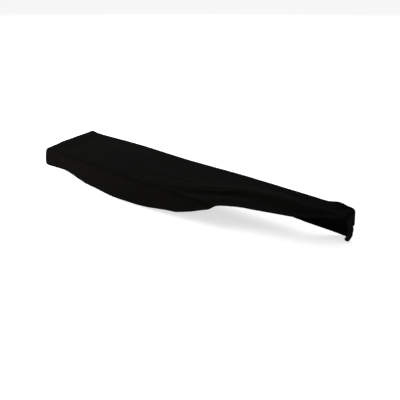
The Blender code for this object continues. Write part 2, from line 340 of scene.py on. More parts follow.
# The knit: spacing of its ribs, loops along a rib, how far a rib shifts them, and heights of
# rib, loop and fuzz
KNIT_PITCH = 0.0011
LOOP_PACE = 0.72
RIB_SHIFT = 1.5
RIB_HEIGHT = 0.62
LOOP_HEIGHT = 0.38
FUZZ_PACE = 2600.0
FUZZ_HEIGHT = 0.35

# The stitches of the hem. Each pair is the distance at which a mark is gone, and the one at
# which it is full: from the row, from the middle of a stitch as a share of it, or from the hem.
STITCH_ROWS = 2
STITCH_LENGTH = 0.0032
FIRST_STITCH_ROW = 0.0130
STITCH_ROW_GAP = 0.0055
THREAD_EDGE = (0.0007, 0.0002)
DASH_EDGE = (0.42, 0.30)
GROOVE_EDGE = (0.0022, 0.0004)
PUCKER_EDGE = (0.034, 0.010)
PUCKER_PACE = (170.0, 28.0, 1.0)
PUCKER_HEIGHT = 1.6
GROOVE_HEIGHT = -0.55
THREAD_HEIGHT = 0.8

# Slow shade and pressed creases over the cloth, as noise along and across it
SHADE_PACE = (5.0, 11.0, 1.0)
LONG_CREASE_PACE = (7.0, 60.0, 1.0)
SHORT_CREASE_PACE = (55.0, 90.0, 1.0)
SHORT_CREASE_SHARE = 0.35

# The cloth's surface. Each pair is how much an effect adds, and the value without it.
SHADE_TONE = (0.5, 0.75)
# Painted shade: the knit's low places between ribs and loops are coloured darker by this much
KNIT_GROOVE_SHADE = (0.3, 0.8)
THREAD_TONE = 0.5
DULLNESS = (0.10, 0.80)
SPECULAR = 0.004
SHEEN = 0.004
SHEEN_ROUGHNESS = 0.45
SHEEN_TINT = (1.0, 0.97, 0.93, 1.0)

# Relief in the material, as strength and depth
CREASE_BUMP = (0.55, 0.0022)
SEWN_BUMP = (0.8, 0.0007)
KNIT_BUMP = (0.6, 0.00018)

# The stage: a wide floor, three soft lights and the camera
FLOOR_SIZE = 60.0
FLOOR_TONE = (0.02, 0.99)
FLOOR_MOTTLING = 1.5
FLOOR_ROUGHNESS = 0.95
FLOOR_SPECULAR = 0.1
LIGHTS = (
    # name, place, what it points at, size
    ("key", (-3.00, 4.30, 2.60), (0.05, 0.00, 0.00), (2.2, 1.8)),
    ("over", (-0.40, -2.20, 3.00), (0.00, 0.00, 0.00), (1.5, 1.5)),
    ("fill", (-2.00, -1.20, 0.60), (-0.40, -0.15, -0.04), (1.2, 0.6)),
)
CAMERA_TARGET = Vector((0.1609, -0.0858, -0.0226))
CAMERA_TURN = math.radians(36.30)
CAMERA_TILT = math.radians(28.25)
CAMERA_DISTANCE = 1.5793
SENSOR_WIDTH = 36.0
CLIP_START = 0.02
CLIP_END = 50.0


def smooth(value):
    """A soft step from 0 to 1."""
    value = min(max(value, 0.0), 1.0)
    return value * value * (3.0 - 2.0 * value)


def ramp(value, span):
    """A soft step from 0 at the start of span to 1 at its end."""
    return smooth((value - span[0]) / (span[1] - span[0]))


def bell(distance, half_width):
    """A soft hump, 1 in the middle and 0 from half_width out."""
    share = min(abs(distance) / half_width, 1.0)
    return 0.5 * (1.0 + math.cos(math.pi * share))


def read_table(rows, place):
    """The other columns of a table at a place along it, on a smooth curve through its rows."""
    if place <= rows[0][0]:
        return rows[0][1:]
    if place >= rows[-1][0]:
        return rows[-1][1:]
    last = len(rows) - 1
    i = max(k for k in range(last) if rows[k][0] <= place)
    span = rows[i + 1][0] - rows[i][0]
    share = (place - rows[i][0]) / span
    found = []
    for column in range(1, len(rows[0])):
        slopes = []
        for k in (i, i + 1):
            before, after = max(k - 1, 0), min(k + 1, last)
            rise = rows[after][column] - rows[before][column]
            slopes.append(span * rise / (rows[after][0] - rows[before][0]))
        start, end = rows[i][column], rows[i + 1][column]
        cubic = (2 * share**3 - 3 * share**2 + 1) * start
        cubic += (share**3 - 2 * share**2 + share) * slopes[0]
        cubic += (3 * share**2 - 2 * share**3) * end
        cubic += (share**3 - share**2) * slopes[1]
        found.append(cubic)
    return tuple(found)


def plan_point(side, place, inset, tucked=0.0):
    """A point of the outline seen from above, drawn in by inset, and its outward direction.

    On a side, place runs from -1 to 1; on a corner it is the angle of the outward direction.
    """
    radius = PLAN_RADIUS - inset + TUCK_ROUNDING * tucked
    inset += tucked
    straight_x = HALF_LENGTH - inset - radius
    straight_y = HALF_DEPTH - inset - radius
    if side == "front":
        return Vector((place * straight_x, inset - HALF_DEPTH)), Vector((0.0, -1.0))
    if side == "back":
        return Vector((place * straight_x, HALF_DEPTH - inset)), Vector((0.0, 1.0))
    if side == "right":
        return Vector((HALF_LENGTH - inset, place * straight_y)), Vector((1.0, 0.0))
    if side == "left":
        return Vector((inset - HALF_LENGTH, place * straight_y)), Vector((-1.0, 0.0))
    out = Vector((math.cos(place), math.sin(place)))
    centre = Vector((math.copysign(straight_x, out.x), math.copysign(straight_y, out.y)))
    return centre + radius * out, out


def midpoints(start, end, step):
    """Even places between start and end, about step apart, half a step in from each."""
    count = max(round((end - start) / step), 1)
    return [start + (end - start) * (k + 0.5) / count for k in range(count)]


def stations(step):
    """The columns of cloth, as (side, place), once round from the front left.

    They stand closer where the hem falls steeply at the right end, and round the corners
    in which the skirt hangs.
    """
    count = round(2 * STRAIGHT_X / step)
    along = [-1.0 + 2.0 * k / count for k in range(count + 1)]
    gather_end = GATHER_END_Y / STRAIGHT_Y
    across = midpoints(-1.0, 1.0, step / STRAIGHT_Y)
    gathered = midpoints(-1.0, gather_end, step / STRAIGHT_Y)
    falling = midpoints(gather_end, 1.0, FALL_SPACING * step / STRAIGHT_Y)
    gathered_turn = midpoints(0.0, math.radians(90.0), step / PLAN_RADIUS)
    turn = midpoints(0.0, math.radians(90.0), CORNER_SPACING * step / PLAN_RADIUS)
    found = [("front", place) for place in along]
    found += [("corner", angle - math.radians(90.0)) for angle in gathered_turn]
    found += [("right", place) for place in gathered + falling]
    found += [("corner", angle) for angle in turn]
    found += [("back", place) for place in reversed(along)]
    found += [("corner", angle + math.radians(90.0)) for angle in turn]
    found += [("left", place) for place in reversed(across)]
    found += [("corner", angle + math.radians(180.0)) for angle in turn]
    return found


def spine_point(side, place):
    """Where the column starts on the top."""
    if side in ("front", "back"):
        x = place * SPINE_END
    else:
        x = math.copysign(SPINE_END, plan_point(side, place, 0.0)[0].x)
    rise = smooth((x - SPINE_RISE_FROM_X) / SPINE_RISE_SPAN)
    return Vector((x, SPINE_Y + SPINE_RISE_Y * rise))


def hem_place(side, place):
    """Distance along the hem: x at the front, then on round the right end to the back."""
    edge, _ = plan_point(side, place, 0.0)
    if side == "left" or (side == "corner" and edge.x < 0):
        return -HALF_LENGTH
    corner = PLAN_RADIUS * math.pi / 2
    if side == "back":
        return GATHER_END_X + STRAIGHT_Y - GATHER_END_Y + corner + STRAIGHT_X - edge.x
    if side == "corner" and edge.y > 0:
        return GATHER_END_X + STRAIGHT_Y - GATHER_END_Y + PLAN_RADIUS * place
    if side == "right" and edge.y > GATHER_END_Y:
        return GATHER_END_X + edge.y - GATHER_END_Y
    if side == "right":
        round_it = corner + edge.y + STRAIGHT_Y
    elif side == "corner":
        round_it = PLAN_RADIUS * (place + math.pi / 2)
    else:
        round_it = 0.0
        if edge.x < GATHER_X:
            return edge.x
    past = min(edge.x, STRAIGHT_X) - GATHER_X + round_it
    whole = STRAIGHT_X - GATHER_X + corner + GATHER_END_Y + STRAIGHT_Y
    return GATHER_X + (GATHER_END_X - GATHER_X) * past / whole


def hem_of(side, place):
    """(reach, tuck) of the hem at a column."""
    edge, _ = plan_point(side, place, 0.0)
    if side == "back":
        return read_table(BACK_HEM, edge.x)
    if side == "right" and edge.y > GATHER_END_Y:
        return read_table(RIGHT_HEM, edge.y)
    if side == "left" or (side == "corner" and edge.x < 0):
        return FIT_HEIGHT, TUCK
    if side == "corner" and edge.y > 0:
        return RIGHT_BACK_REACH, RIGHT_BACK_TUCK
    return read_table(FRONT_HEM, hem_place(side, place))


def hem_run(reach):
    """Length of cloth from where the top edge starts to bend, out to the hem."""
    if reach < -EDGE_RADIUS:
        return reach + EDGE_RADIUS
    if reach < EDGE_RADIUS:
        return BEND_RUN * (reach + EDGE_RADIUS) / (2 * EDGE_RADIUS)
    return BEND_RUN + reach - EDGE_RADIUS


def fold_lift(along, from_hem):
    """Height of the roll and the ridge there, square to the cloth."""
    lift = HEM_LIFT * ramp(along, LIFT_START) * (1.0 - ramp(along, LIFT_END))
    lift *= bell(from_hem, HEM_LIFT_WITHIN)
    for fold in (ROLL, RIDGE):
        crest, hem_slope, far_slope, height = read_table(fold, along)
        slope = hem_slope if from_hem < crest else far_slope
        lift += height * bell(from_hem - crest, slope)
    return lift


def puff_lift(spot):
    """Height of the small rises and dips of the top."""
    lift = 0.0
    for x, y, half_width, height in PUFFS:
        lift += height * bell(math.hypot(spot.x - x, spot.y - y), half_width)
    return lift


def edge_drop(x):
    """How far cloth that lies on the top falls where the right end's edge is rounded."""
    past = min(max(x - HALF_LENGTH + EDGE_RADIUS, 0.0), EDGE_RADIUS)
    return EDGE_RADIUS - math.sqrt(EDGE_RADIUS**2 - past**2)


def stand_out(side, edge, drop):
    """How far the loose skirt stands out at that drop below the top."""
    out = 0.0
    if side == "front":
        for start, end, most in SWAG:
            share = min(max((edge.x - start) / (end - start), 0.0), 1.0)
            out += most * math.sin(math.pi * share) ** 2 * smooth(drop / SWAG_FULL_DROP)
    near_left = bell(edge.x + HALF_LENGTH, CORNER_WITHIN_X)
    near_left *= bell(edge.y + HALF_DEPTH, CORNER_WITHIN_Y)
    near_right = bell(edge.x - HALF_LENGTH, CORNER_WITHIN_X)
    near_right *= bell(edge.y - HALF_DEPTH, CORNER_WITHIN_Y)
    if near_left:
        out += near_left * read_table(LEFT_CORNER_OUT, drop)[0]
    if near_right:
        out += near_right * read_table(RIGHT_CORNER_OUT, drop)[0]
    return out


def crease_lift(along, from_hem):
    """Height of the long creases beside the hem."""
    lift = 0.0
    for start, end, near, far, half_width, height in HEM_CREASES:
        share = (along - start) / (end - start)
        if 0.0 < share < 1.0:
            spot = Vector((along * CREASE_WANDER_PACE, near * CREASE_WANDER_APART, 0.0))
            middle = near + (far - near) * share + CREASE_WANDER * noise.noise(spot)
            fade = math.sin(math.pi * share) ** CREASE_FADE
            lift += fade * height * bell(from_hem - middle, half_width)
    return lift


def drag_lift(flat_spot):
    """Height of the creases that cross the cloth freely."""
    lift = 0.0
    for x0, y0, x1, y1, half_width, height in DRAG_CREASES:
        if not min(x0, x1) - DRAG_MARGIN < flat_spot.x < max(x0, x1) + DRAG_MARGIN:
            continue
        start, line = Vector((x0, y0)), Vector((x1 - x0, y1 - y0))
        share = (flat_spot - start).dot(line) / line.length_squared
        if 0.0 < share < 1.0:
            bow = DRAG_BOW * line.length * share * (1.0 - share)
            off = (flat_spot - start).cross(line) / line.length - bow
            fade = math.sin(math.pi * share) ** DRAG_FADE
            width = half_width * (DRAG_START_WIDTH + DRAG_WIDENING * share)
            lift += fade * height * bell(off, width)
    return lift


def gather_lift(along, from_hem):
    """Height of the gathers that the elastic draws, uneven in spacing, slant and length."""
    lift = 0.0
    for start, end, spacing, height, within in GATHERS:
        fade = smooth((along - start) / GATHERS_FADE) * smooth((end - along) / GATHERS_FADE)
        if fade:
            slant = noise.noise(Vector((along * GATHER_SLANT_PACE, *GATHER_SLANT_PLACE)))
            slant *= GATHER_SLANT * from_hem
            across = GATHER_TIGHTNESS * (along + slant) / spacing
            uneven = noise.noise(Vector((along * GATHER_UNEVEN_PACE, *GATHER_UNEVEN_PLACE)))
            reach = within * (1.0 + GATHER_UNEVEN * uneven)
            depth = from_hem * GATHER_DEPTH_PACE
            wave = noise.noise(Vector((across, GATHER_DEPTH_PLACE, depth)))
            lift += fade * height * wave * smooth(1.0 - from_hem / reach)
    return lift


def slack_lift(flat_spot):
    """The slight unevenness of cloth that lies loose."""
    lift = 0.0
    for pace_x, pace_y, place, height in SLACK:
        lift += height * noise.noise(Vector((flat_spot.x * pace_x, flat_spot.y * pace_y, place)))
    return lift


def row_lengths(flat, run, tail, drawn, rows):
    """How far along a column its rows lie, closer where the cloth bends and near the hem."""
    whole = flat + run
    edge_middle = flat + BEND_RUN / 2
    edge_within = EDGE_WITHIN + EDGE_WITHIN_DRAWN * drawn
    totals = [0.0]
    for step in range(ROW_SAMPLES):
        at = whole * (step + 0.5) / ROW_SAMPLES
        from_hem = whole - at
        density = 1.0 + EDGE_CLOSER * bell(at - edge_middle, edge_within)
        density += DRAWN_CLOSER * drawn * smooth((DRAWN_WITHIN - from_hem) / DRAWN_EASE)
        turn = smooth((tail + TURN_EASE - from_hem) / TURN_EASE)
        density += TURN_CLOSER * turn * smooth(tail / TURN_FULL_TAIL)
        density += HEM_CLOSER * smooth((HEM_WITHIN - from_hem) / HEM_EASE)
        totals.append(totals[-1] + density)
    lengths, step = [], 0
    for row in range(1, rows):
        wanted = totals[-1] * row / rows
        while totals[step + 1] < wanted:
            step += 1
        share = (wanted - totals[step]) / (totals[step + 1] - totals[step])
        lengths.append(whole * (step + share) / ROW_SAMPLES)
    return lengths + [whole]


class Column:
    """One line of cloth from the spine on the top out to the hem."""

    def __init__(self, side, place, walked):
        self.side, self.place = side, place
        self.start = spine_point(side, place)
        self.edge, self.out = plan_point(side, place, 0.0)
        self.along = hem_place(side, place)
        self.gather_along = walked
        self.reach, self.tuck = hem_of(side, place)
        self.gathered = self.reach < -EDGE_RADIUS and side in ("front", "corner", "right")
        if self.gathered:
            self.hem = Vector((self.along, -HALF_DEPTH - self.reach))
            self.tail, self.run = 0.0, hem_run(self.reach)
            self.flat = (self.hem - self.start).length - self.run
            self.drawn = 1.0
            return
        self.bend_start, _ = plan_point(side, place, EDGE_RADIUS)
        self.flat = (self.bend_start - self.start).length
        self.tail_from = FIT_HEIGHT - BOTTOM_BEND
        self.tail = max(self.reach - self.tail_from, 0.0) + max(self.tuck, 0.0)
        self.run = hem_run(min(self.reach, self.tail_from)) + self.tail
        self.drawn = ramp(self.along, DRAWN_START) * (1.0 - ramp(self.along, LIFT_END))

    def surface(self, length):
        """The smooth surface there: where, its normal, the flat spot and distance to the hem."""
        from_hem = self.flat + self.run - length
        lift = fold_lift(self.along, from_hem) * smooth(length / SPINE_FADE)
        if self.gathered or length <= self.flat:
            end = self.hem if self.gathered else self.bend_start
            spot = self.start.lerp(end, length / (end - self.start).length)
            height = lift + puff_lift(spot) - edge_drop(spot.x)
            return Vector((*spot, height)), Vector((0.0, 0.0, 1.0)), spot, from_hem
        past = length - self.flat
        inset, tucked, up, outwards = 0.0, 0.0, 0.0, 1.0
        if past <= BEND_RUN:
            up = math.cos(past / EDGE_RADIUS)
            outwards = math.sin(past / EDGE_RADIUS)
            inset = EDGE_RADIUS * (1.0 - outwards)
            drop = EDGE_RADIUS * (1.0 - up)
        elif not self.tail or past <= self.run - self.tail:
            drop = EDGE_RADIUS + past - BEND_RUN
        else:
            share = 1.0 - (self.run - past) / self.tail
            slack = TUCK_SLACK * smooth(self.tuck / TUCK)
            knee, low = min(self.reach, FIT_HEIGHT) + slack, self.reach + slack
            drop = (1 - share) ** 2 * self.tail_from + 2 * share * (1 - share) * knee
            drop += share**2 * low
            tucked = self.tuck * share**2
            fall = 2 * (1 - share) * (knee - self.tail_from) + 2 * share * (low - knee)
            inward = 2 * share * max(self.tuck, 0.0)
            length_now = math.hypot(fall, inward) or 1.0
            up, outwards = -inward / length_now, fall / length_now
        proud = lift * outwards if past <= self.run - self.tail else lift
        proud += stand_out(self.side, self.edge, drop)
        spot, _ = plan_point(self.side, self.place, inset - proud, tucked)
        height = (lift + puff_lift(spot)) * max(up, 0.0) - drop
        normal = Vector((*(self.out * outwards), up)).normalized()
        return Vector((*spot, height)), normal, self.bend_start + self.out * past, from_hem

    def point(self, length):
        """The finished surface there, and its place on the flat cloth and by the hem."""
        point, normal, flat_spot, from_hem = self.surface(length)
        lift = crease_lift(self.along, from_hem) * smooth(length / SPINE_FADE)
        lift += drag_lift(flat_spot)
        lift += slack_lift(flat_spot)
        lift += gather_lift(self.gather_along, from_hem)
        return point + normal * lift, flat_spot, from_hem


def deselect_all():
    """Leaves nothing selected."""
    for thing in bpy.context.selected_objects:
        thing.select_set(False)


def show_finished(piece):
    """Applies what modifiers the piece has and shades it smooth."""
    deselect_all()
    piece.select_set(True)
    bpy.context.view_layer.objects.active = piece
    for modifier in list(piece.modifiers):
        bpy.ops.object.modifier_apply(modifier=modifier.name)
    bpy.ops.object.shade_smooth_by_angle(angle=SMOOTH_UP_TO)


def columns_round(step):
    """The columns once round, each told how far round the edge it stands."""
    columns, before = [], None
    for side, place in stations(step):
        edge, _ = plan_point(side, place, 0.0)
        walked = -STRAIGHT_X if before is None else walked + (edge - before).length
        before = edge
        columns.append(Column(side, place, walked))
    return columns


def loft_cover(name, step, rows):
    """The cloth's inside face, with a flat pattern, a hem pattern and a hem weight."""
    shape = bmesh.new()
    cloth_map = shape.loops.layers.uv.new("cloth")
    hem_map = shape.loops.layers.uv.new("hem")
    weights = shape.verts.layers.deform.verify()
    spine, grid, patterns = {}, [], []
    for column in columns_round(step):
        key = round(column.start.x, MICROMETRE_DIGITS)
        if key not in spine:
            height = puff_lift(column.start) + drag_lift(column.start)
            height += slack_lift(column.start)
            spine[key] = shape.verts.new((*column.start, height))
        verts, pattern = [spine[key]], [(column.start, column.flat + column.run)]
        lengths = row_lengths(column.flat, column.run, column.tail, column.drawn, rows)
        for length in lengths:
            point, flat_spot, from_hem = column.point(length)
            vert = shape.verts.new(point)
            band = smooth((HEM_WIDTH - from_hem) / HEM_THINNING)
            rim = RIM_THICKNESS + (1.0 - RIM_THICKNESS) * smooth(from_hem / RIM_WIDTH)
            vert[weights][0] = band * rim
            verts.append(vert)
            pattern.append((flat_spot, from_hem))
        grid.append(verts)
        patterns.append(pattern)
    hem_marks = [0.0]
    for i, column in enumerate(grid):
        after = grid[(i + 1) % len(grid)]
        hem_marks.append(hem_marks[-1] + (after[-1].co - column[-1].co).length)
    for i, column in enumerate(grid):
        j = (i + 1) % len(grid)
        s0, s1 = hem_marks[i], hem_marks[i + 1]
        for row in range(rows):
            ring = ((i, row, s0), (i, row + 1, s0), (j, row + 1, s1), (j, row, s1))
            corners = {}
            for c, r, s in ring:
                corners.setdefault(grid[c][r], (patterns[c][r], s))
            face = shape.faces.new(list(corners))
            for loop in face.loops:
                (flat_spot, from_hem), s = corners[loop.vert]
                loop[cloth_map].uv = flat_spot
                loop[hem_map].uv = (s, from_hem)
    mesh = bpy.data.meshes.new(name)
    shape.to_mesh(mesh)
    shape.free()
    return mesh


def new_group(name, inputs, outputs):
    """An empty shader node group with its sockets."""
    group = bpy.data.node_groups.new(name, "ShaderNodeTree")
    for socket, kind, default in inputs:
        made = group.interface.new_socket(socket, in_out="INPUT", socket_type=kind)
        if default is not None:
            made.default_value = default
    for socket, kind in outputs:
        group.interface.new_socket(socket, in_out="OUTPUT", socket_type=kind)
    return group, group.nodes.new("NodeGroupInput"), group.nodes.new("NodeGroupOutput")


class Wiring:
    """Short words for adding and linking nodes in one tree."""

    def __init__(self, tree):
        self.tree = tree

    def node(self, kind, **settings):
        """A new node of that kind, with its settings."""
        made = self.tree.nodes.new(kind)
        for name, value in settings.items():
            setattr(made, name, value)
        return made

    def feed(self, socket, value):
        """Links the value to the socket, or sets it where it is a constant."""
        if hasattr(value, "links"):
            self.tree.links.new(value, socket)
        else:
            socket.default_value = value

    def maths(self, operation, *values):
        """The result of a sum on the values."""
        made = self.node("ShaderNodeMath", operation=operation)
        for socket, value in zip(made.inputs, values):
            self.feed(socket, value)
        return made.outputs[0]

    def soft_step(self, value, gone, full):
        """A soft step from 0 where the value is gone to 1 where it is full."""
        made = self.node("ShaderNodeMapRange", interpolation_type="SMOOTHSTEP")
        self.feed(made.inputs["Value"], value)
        made.inputs["From Min"].default_value = gone
        made.inputs["From Max"].default_value = full
        return made.outputs["Result"]

    def noise(self, vector, scale=1.0, detail=2.0, roughness=0.5):
        """Soft noise at the vector."""
        made = self.node("ShaderNodeTexNoise")
        self.feed(made.inputs["Vector"], vector)
        made.inputs["Scale"].default_value = scale
        made.inputs["Detail"].default_value = detail
        made.inputs["Roughness"].default_value = roughness
        return made.outputs["Fac"]

    def scaled(self, vector, scale):
        """The vector, stretched differently in each direction."""
        made = self.node("ShaderNodeMapping", vector_type="POINT")
        self.feed(made.inputs["Vector"], vector)
        made.inputs["Scale"].default_value = scale
        return made.outputs["Vector"]

    def tinted(self, colour, tone):
        """The colour, made lighter or darker by the tone."""
        made = self.node("ShaderNodeMix", data_type="RGBA", blend_type="MULTIPLY")
        made.inputs["Factor"].default_value = 1.0
        made.inputs["A"].default_value = (*colour, 1.0)
        self.feed(made.inputs["B"], tone)
        return made.outputs["Result"]

    def relief(self, height, size, under=None):
        """A normal for the height, with size as (strength, depth), over the normal under it."""
        made = self.node("ShaderNodeBump")
        strength, depth = size
        made.inputs["Strength"].default_value = strength
        made.inputs["Distance"].default_value = depth
        self.feed(made.inputs["Height"], height)
        if under is not None:
            self.feed(made.inputs["Normal"], under)
        return made.outputs["Normal"]


def knit_group():
    """Fine ribs of loops, in metres on the flat cloth, and painted shade in the low places between
    them.
    """
    group, enter, leave = new_group(
        "Fine knit",
        (("Flat", "NodeSocketVector", None), ("Pitch", "NodeSocketFloat", KNIT_PITCH)),
        (("Height", "NodeSocketFloat"), ("Shade", "NodeSocketFloat")),
    )
    w = Wiring(group)
    parts = w.node("ShaderNodeSeparateXYZ")
    w.feed(parts.inputs[0], enter.outputs["Flat"])
    turns = w.maths("DIVIDE", 2.0 * math.pi, enter.outputs["Pitch"])
    across = w.maths("MULTIPLY", parts.outputs["Y"], turns)
    down = w.maths("MULTIPLY", parts.outputs["X"], turns)
    rib = w.maths("ABSOLUTE", w.maths("SINE", w.maths("MULTIPLY", across, 0.5)))
    shifted = w.maths("MULTIPLY", down, LOOP_PACE)
    shifted = w.maths("ADD", shifted, w.maths("MULTIPLY", rib, RIB_SHIFT))
    loop = w.maths("MULTIPLY_ADD", w.maths("SINE", shifted), 0.5, 0.5)
    height = w.maths("MULTIPLY", rib, RIB_HEIGHT)
    height = w.maths("ADD", height, w.maths("MULTIPLY", loop, LOOP_HEIGHT))
    fuzz = w.noise(enter.outputs["Flat"], FUZZ_PACE, roughness=0.6)
    w.feed(leave.inputs["Height"], w.maths("MULTIPLY_ADD", fuzz, FUZZ_HEIGHT, height))
    # Shade is the height itself, so the knit's grooves come out darker as painted shade
    w.feed(leave.inputs["Shade"], height)
    return group


def hem_group():
    """The stitched hem: two rows of stitches, the ditches they pull in, and fine puckers."""
    group, enter, leave = new_group(
        "Stitched hem",
        (
            ("Hem", "NodeSocketVector", None),
            ("Stitch", "NodeSocketFloat", STITCH_LENGTH),
            ("First row", "NodeSocketFloat", FIRST_STITCH_ROW),
            ("Row gap", "NodeSocketFloat", STITCH_ROW_GAP),
        ),
        (("Height", "NodeSocketFloat"), ("Thread", "NodeSocketFloat")),
    )
    w = Wiring(group)
    parts = w.node("ShaderNodeSeparateXYZ")
    w.feed(parts.inputs[0], enter.outputs["Hem"])
    along, from_hem = parts.outputs["X"], parts.outputs["Y"]
    first_row, row_gap = enter.outputs["First row"], enter.outputs["Row gap"]
    dash = w.maths("FRACT", w.maths("DIVIDE", along, enter.outputs["Stitch"]))
    dash = w.soft_step(w.maths("ABSOLUTE", w.maths("SUBTRACT", dash, 0.5)), *DASH_EDGE)
    thread, groove = 0.0, 0.0
    for k in range(STITCH_ROWS):
        row = w.maths("MULTIPLY_ADD", row_gap, float(k), first_row)
        off = w.maths("ABSOLUTE", w.maths("SUBTRACT", from_hem, row))
        stitch = w.maths("MULTIPLY", w.soft_step(off, *THREAD_EDGE), dash)
        thread = w.maths("MAXIMUM", thread, stitch)
        groove = w.maths("MAXIMUM", groove, w.soft_step(off, *GROOVE_EDGE))
    pucker = w.noise(w.scaled(enter.outputs["Hem"], PUCKER_PACE))
    near = w.soft_step(from_hem, *PUCKER_EDGE)
    height = w.maths("MULTIPLY", w.maths("MULTIPLY", pucker, near), PUCKER_HEIGHT)
    height = w.maths("ADD", height, w.maths("MULTIPLY", groove, GROOVE_HEIGHT))
    w.feed(leave.inputs["Height"], w.maths("MULTIPLY_ADD", thread, THREAD_HEIGHT, height))
    w.feed(leave.inputs["Thread"], thread)
    return group


def wear_group():
    """Slow changes over the cloth, from handling and pressed creases."""
    group, enter, leave = new_group(
        "Handled cloth",
        (("Flat", "NodeSocketVector", None),),
        (("Shade", "NodeSocketFloat"), ("Creasing", "NodeSocketFloat")),
    )
    w = Wiring(group)
    flat = enter.outputs["Flat"]
    shade = w.noise(w.scaled(flat, SHADE_PACE), detail=4.0, roughness=0.55)
    long_ones = w.noise(w.scaled(flat, LONG_CREASE_PACE), detail=3.0, roughness=0.55)
    short_ones = w.noise(w.scaled(flat, SHORT_CREASE_PACE), detail=3.0, roughness=0.6)
    w.feed(leave.inputs["Shade"], shade)
    creasing = w.maths("MULTIPLY_ADD", short_ones, SHORT_CREASE_SHARE, long_ones)
    w.feed(leave.inputs["Creasing"], creasing)
    return group


def cloth_material(colour, pitch):
    """Black stretch knit with a stitched hem."""
    material = bpy.data.materials.new("black_stretch_knit")
    material.use_nodes = True
    tree = material.node_tree
    w = Wiring(tree)
    shader = tree.nodes["Principled BSDF"]
    flat = w.node("ShaderNodeUVMap", uv_map="cloth").outputs["UV"]
    by_hem = w.node("ShaderNodeUVMap", uv_map="hem").outputs["UV"]
    knit = w.node("ShaderNodeGroup", node_tree=knit_group())
    w.feed(knit.inputs["Flat"], flat)
    knit.inputs["Pitch"].default_value = pitch
    hem = w.node("ShaderNodeGroup", node_tree=hem_group())
    w.feed(hem.inputs["Hem"], by_hem)
    handled = w.node("ShaderNodeGroup", node_tree=wear_group())
    w.feed(handled.inputs["Flat"], flat)

    tone = w.maths("MULTIPLY_ADD", handled.outputs["Shade"], *SHADE_TONE)
    # Painted shade: the knit's grooves darken the cloth's colour, following the knit's height
    rib_groove_shade = w.maths("MULTIPLY_ADD", knit.outputs["Shade"], *KNIT_GROOVE_SHADE)
    tone = w.maths("MULTIPLY", tone, rib_groove_shade)
    tone = w.maths("MULTIPLY_ADD", hem.outputs["Thread"], THREAD_TONE, tone)
    w.feed(shader.inputs["Base Color"], w.tinted(colour, tone))

    dull = w.maths("MULTIPLY_ADD", handled.outputs["Shade"], *DULLNESS)
    w.feed(shader.inputs["Roughness"], dull)
    shader.inputs["Specular IOR Level"].default_value = SPECULAR
    shader.inputs["Sheen Weight"].default_value = SHEEN
    shader.inputs["Sheen Roughness"].default_value = SHEEN_ROUGHNESS
    shader.inputs["Sheen Tint"].default_value = SHEEN_TINT

    creased = w.relief(handled.outputs["Creasing"], CREASE_BUMP)
    sewn = w.relief(hem.outputs["Height"], SEWN_BUMP, creased)
    knitted = w.relief(knit.outputs["Height"], KNIT_BUMP, sewn)
    w.feed(shader.inputs["Normal"], knitted)
    material.diffuse_color = (*colour, 1.0)
    return material


class CoverSettings(bpy.types.PropertyGroup):
    """Sizes and colours of the cover's cloth."""

    thickness: FloatProperty(
        name="Cloth thickness", description="Thickness of the knitted cloth",
        default=0.0015, min=0.0010, max=0.0030, unit="LENGTH",
    )
    hem_thickness: FloatProperty(
        name="Hem thickness", description="Thickness of the turned and stitched hem",
        default=0.0026, min=0.0015, max=0.0040, unit="LENGTH",
    )
    column_step: FloatProperty(
        name="Column step", description="Spacing of the mesh along the hem",
        default=0.0050, min=0.0035, max=0.0300, unit="LENGTH",
    )
    rows: IntProperty(
        name="Rows", description="Rows of mesh from the top's middle line out to the hem",
        default=62, min=16, max=90,
    )
    colour: FloatVectorProperty(
        name="Dye", description="Colour of the cloth", subtype="COLOR",
        default=(0.0029, 0.0027, 0.0024), min=0.0, max=1.0,
    )
    knit_pitch: FloatProperty(
        name="Knit pitch", description="Spacing of the ribs of the knit",
        default=KNIT_PITCH, min=0.0005, max=0.0040, unit="LENGTH",
    )


class StageSettings(bpy.types.PropertyGroup):
    """The floor, the lights and the camera."""

    floor_colour: FloatVectorProperty(
        name="Floor", description="Colour of the floor", subtype="COLOR",
        default=(0.86, 0.86, 0.86), min=0.0, max=1.0,
    )
    floor_glow: FloatProperty(
        name="Floor glow", description="Light that the floor gives, as a lit white table does",
        default=0.66, min=0.0, max=2.0,
    )
    floor_gap: FloatProperty(
        name="Floor gap", description="How far the floor is below the cover's lowest point",
        default=0.0005, min=0.0, max=0.5, unit="LENGTH",
    )
    surround: FloatProperty(
        name="Surround", description="Strength of the even light from all round",
        default=0.30, min=0.0, max=4.0,
    )
    key: FloatProperty(
        name="Key light", description="Power of the light far behind the left end",
        default=228.0, min=0.0, max=2000.0, unit="POWER",
    )
    over: FloatProperty(
        name="Over light", description="Power of the light high in front of the cover",
        default=26.0, min=0.0, max=400.0, unit="POWER",
    )
    fill: FloatProperty(
        name="Fill light", description="Power of the low light at the front left",
        default=72.0, min=0.0, max=400.0, unit="POWER",
    )
    lens: FloatProperty(
        name="Lens", description="Focal length of the camera",
        default=40.76, min=10.0, max=200.0, unit="CAMERA",
    )


class DUSTCOVER_OT_cover(bpy.types.Operator):
    """Builds the cover's cloth in place of its plain solid"""

    bl_idname = "dust_cover.cover"
    bl_label = "Build Cover Cloth"

    def execute(self, context):
        settings = context.scene.dust_cover
        step, rows = settings.column_step, settings.rows
        cover = bpy.data.objects.new("cover_cloth", loft_cover("cover_cloth", step, rows))
        context.scene.collection.objects.link(cover)
        group = cover.vertex_groups.new(name="hem")
        thicken = cover.modifiers.new("thickness", "SOLIDIFY")
        thicken.thickness = settings.hem_thickness
        thicken.offset = 1.0
        thicken.vertex_group = group.name
        thicken.thickness_vertex_group = settings.thickness / settings.hem_thickness
        show_finished(cover)
        cover.data.materials.append(cloth_material(settings.colour, settings.knit_pitch))
        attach(cover, "root")
        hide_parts("dust_cover")
        return {"FINISHED"}


